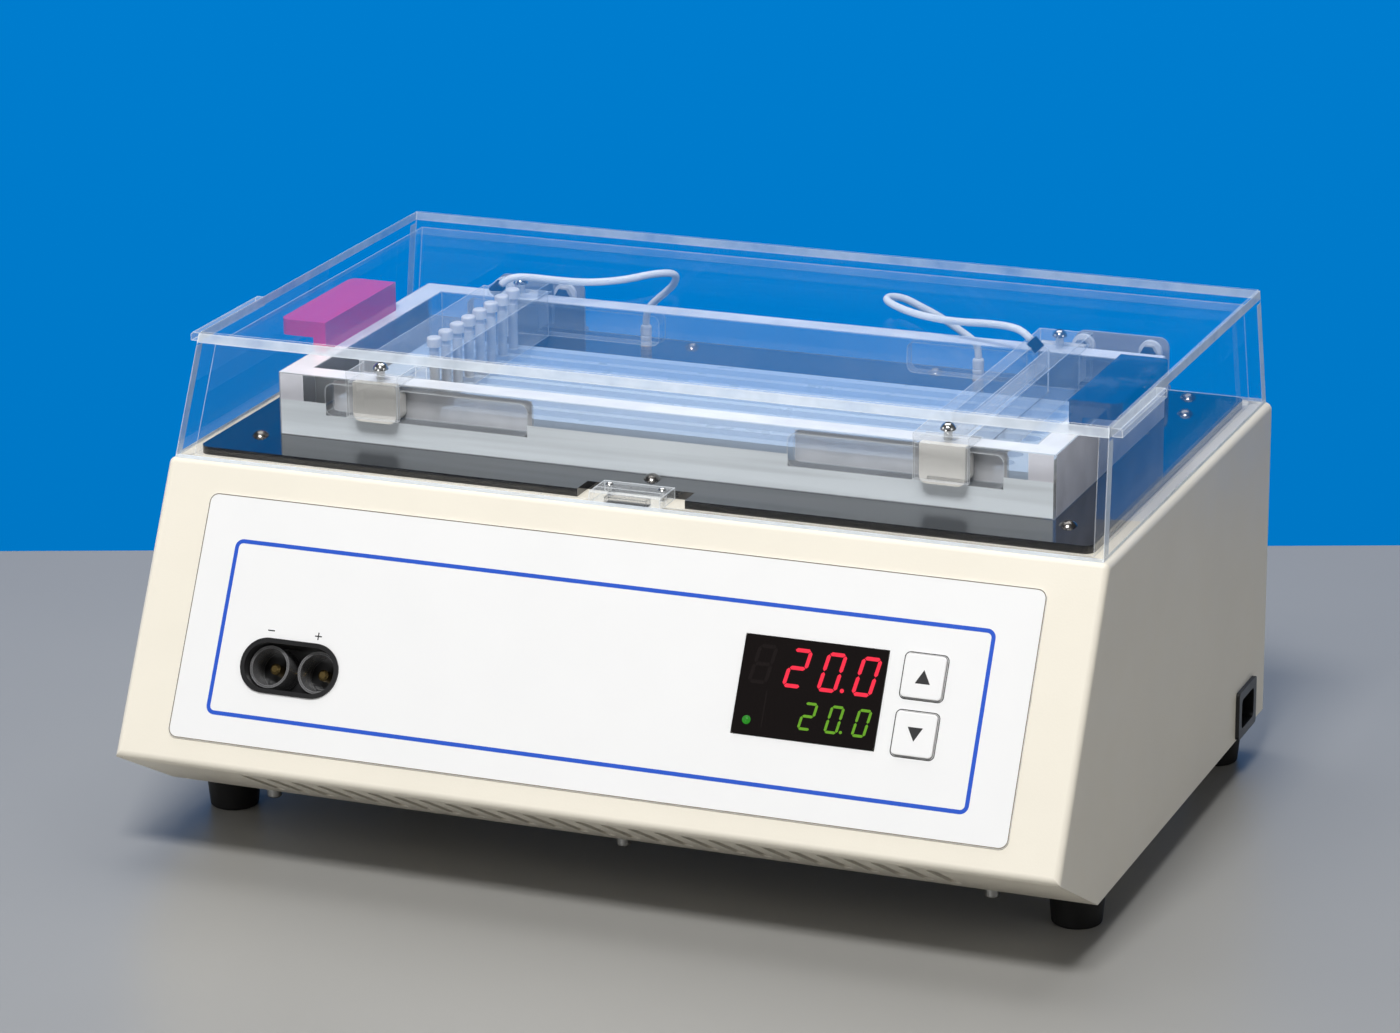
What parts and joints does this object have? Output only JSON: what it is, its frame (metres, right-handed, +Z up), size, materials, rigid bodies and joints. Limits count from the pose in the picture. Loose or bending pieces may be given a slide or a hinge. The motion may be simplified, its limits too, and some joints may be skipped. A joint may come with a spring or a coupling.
{
  "type": "isoelectric focusing unit",
  "caption": "Bench box with a sloping control panel, a clear hinged lid over a cooled tray with sliding electrode bars, louvres, feet and a rear fan.",
  "frame": {"origin": "on the bench under the middle of the whole unit, in the plane of the feet's undersides", "axes": "+X to the right as seen from the front, -Y to the front where the panel is, +Z up"},
  "size_m": [0.3585, 0.2611, 0.1815],
  "materials": {
    "cream_paint": "fine textured cream paint",
    "overlay_white": "satin printed film",
    "window_dark": "glossy dark window",
    "circuit_board": "green board",
    "key_grey": "satin",
    "black_plastic": "satin black",
    "shroud_grey": "translucent grey",
    "brass": "machined",
    "deck_black": "high gloss black",
    "steel": "bright",
    "aluminium": "machined",
    "foam": "closed-cell foam",
    "ceramic": "fired white",
    "magnet": "black ferrite",
    "clear_acrylic": "clear, polished",
    "strip_white": "white",
    "handle_red": "translucent red",
    "handle_navy": "glossy dark blue",
    "slider_cream": "waxy fluoropolymer",
    "platinum": "drawn wire",
    "white_plastic": "white",
    "feet_rubber": "black rubber"
  },
  "bodies": {
    "base": {"casing": "cream_paint", "bottom_plate": "cream_paint", "rear_panel": "cream_paint", "front_overlay": "overlay_white", "display_window": "window_dark", "display_board": "circuit_board", "socket_housing": "black_plastic", "socket_shrouds": "shroud_grey", "socket_pins": "brass", "deck_plate": "deck_black", "deck_screws": "steel", "cooling_plate": "aluminium", "plate_foam": "foam", "peltier_modules": "ceramic", "heat_sink": "aluminium", "deck_sockets": "brass", "lead_plugs": "white_plastic", "tray": "clear_acrylic", "strip_holder": "strip_white", "left_handle": "handle_red", "right_handle": "handle_navy", "left_lead": "white_plastic", "right_lead": "white_plastic", "body_leaves": "steel", "hinge_pins": "steel", "rear_screws": "steel", "fan_frame": "black_plastic", "fan_guard": "steel", "switch_frame": "black_plastic", "power_inlet": "black_plastic", "feet": "feet_rubber", "bottom_screws": "steel", "power_supply": "steel", "control_board": "circuit_board", "reed_switch": "black_plastic"},
    "lid": {"lid": "clear_acrylic", "lid_grips": "clear_acrylic", "magnet_block": "clear_acrylic", "lid_magnet": "magnet", "magnet_screws": "steel", "lid_leaves": "steel", "lid_screws": "steel"},
    "left_electrode": {"left_bar": "clear_acrylic", "left_sliders": "slider_cream", "left_ferrule": "black_plastic", "left_wire": "platinum", "post_rods": "clear_acrylic", "post_caps": "white_plastic"},
    "right_electrode": {"right_bar": "clear_acrylic", "right_sliders": "slider_cream", "right_ferrule": "black_plastic", "right_wire": "platinum"},
    "left_front_clamp": {"left_front_clamp": "steel"},
    "left_rear_clamp": {"left_rear_clamp": "steel"},
    "right_front_clamp": {"right_front_clamp": "steel"},
    "right_rear_clamp": {"right_rear_clamp": "steel"},
    "key_up": {"key_up": "key_grey"},
    "key_down": {"key_down": "key_grey"},
    "rocker": {"rocker": "black_plastic"},
    "fan_rotor": {"fan_rotor": "black_plastic"}
  },
  "joints": [
    {"name": "lid_hinge", "type": "hinge", "parent": "base", "child": "lid", "pos_m": [0, 0.1288, 0.138], "axis": [-1, 0, 0], "range_deg": [0, 105]},
    {"name": "left_bar_slide", "type": "slide", "parent": "base", "child": "left_electrode", "axis": [1, 0, 0], "range_m": [-0.0124, 0.05], "deforming": ["left_lead"]},
    {"name": "right_bar_slide", "type": "slide", "parent": "base", "child": "right_electrode", "axis": [1, 0, 0], "range_m": [-0.05, 0.0124], "deforming": ["right_lead"]},
    {"name": "left_front_clamp_turn", "type": "hinge", "parent": "left_electrode", "child": "left_front_clamp", "pos_m": [-0.10875, -0.0454, 0.1689], "axis": [0, 0, 1], "range_deg": [0, 360]},
    {"name": "left_rear_clamp_turn", "type": "hinge", "parent": "left_electrode", "child": "left_rear_clamp", "pos_m": [-0.10875, 0.0824, 0.1689], "axis": [0, 0, 1], "range_deg": [0, 360]},
    {"name": "right_front_clamp_turn", "type": "hinge", "parent": "right_electrode", "child": "right_front_clamp", "pos_m": [0.10875, -0.0454, 0.1689], "axis": [0, 0, 1], "range_deg": [0, 360]},
    {"name": "right_rear_clamp_turn", "type": "hinge", "parent": "right_electrode", "child": "right_rear_clamp", "pos_m": [0.10875, 0.0824, 0.1689], "axis": [0, 0, 1], "range_deg": [0, 360]},
    {"name": "key_up_press", "type": "slide", "parent": "base", "child": "key_up", "axis": [0, 0.8871, -0.4616], "range_m": [0, 0.0004], "stiffness_N_per_m": 2500},
    {"name": "key_down_press", "type": "slide", "parent": "base", "child": "key_down", "axis": [0, 0.8871, -0.4616], "range_m": [0, 0.0004], "stiffness_N_per_m": 2500},
    {"name": "rocker_turn", "type": "hinge", "parent": "base", "child": "rocker", "pos_m": [0.125, 0.124, 0.05], "axis": [-1, 0, 0], "range_deg": [0, 16]},
    {"name": "fan_spin", "type": "hinge", "parent": "base", "child": "fan_rotor", "pos_m": [0, 0.112, 0.076], "axis": [0, 1, 0], "continuous": true}
  ]
}
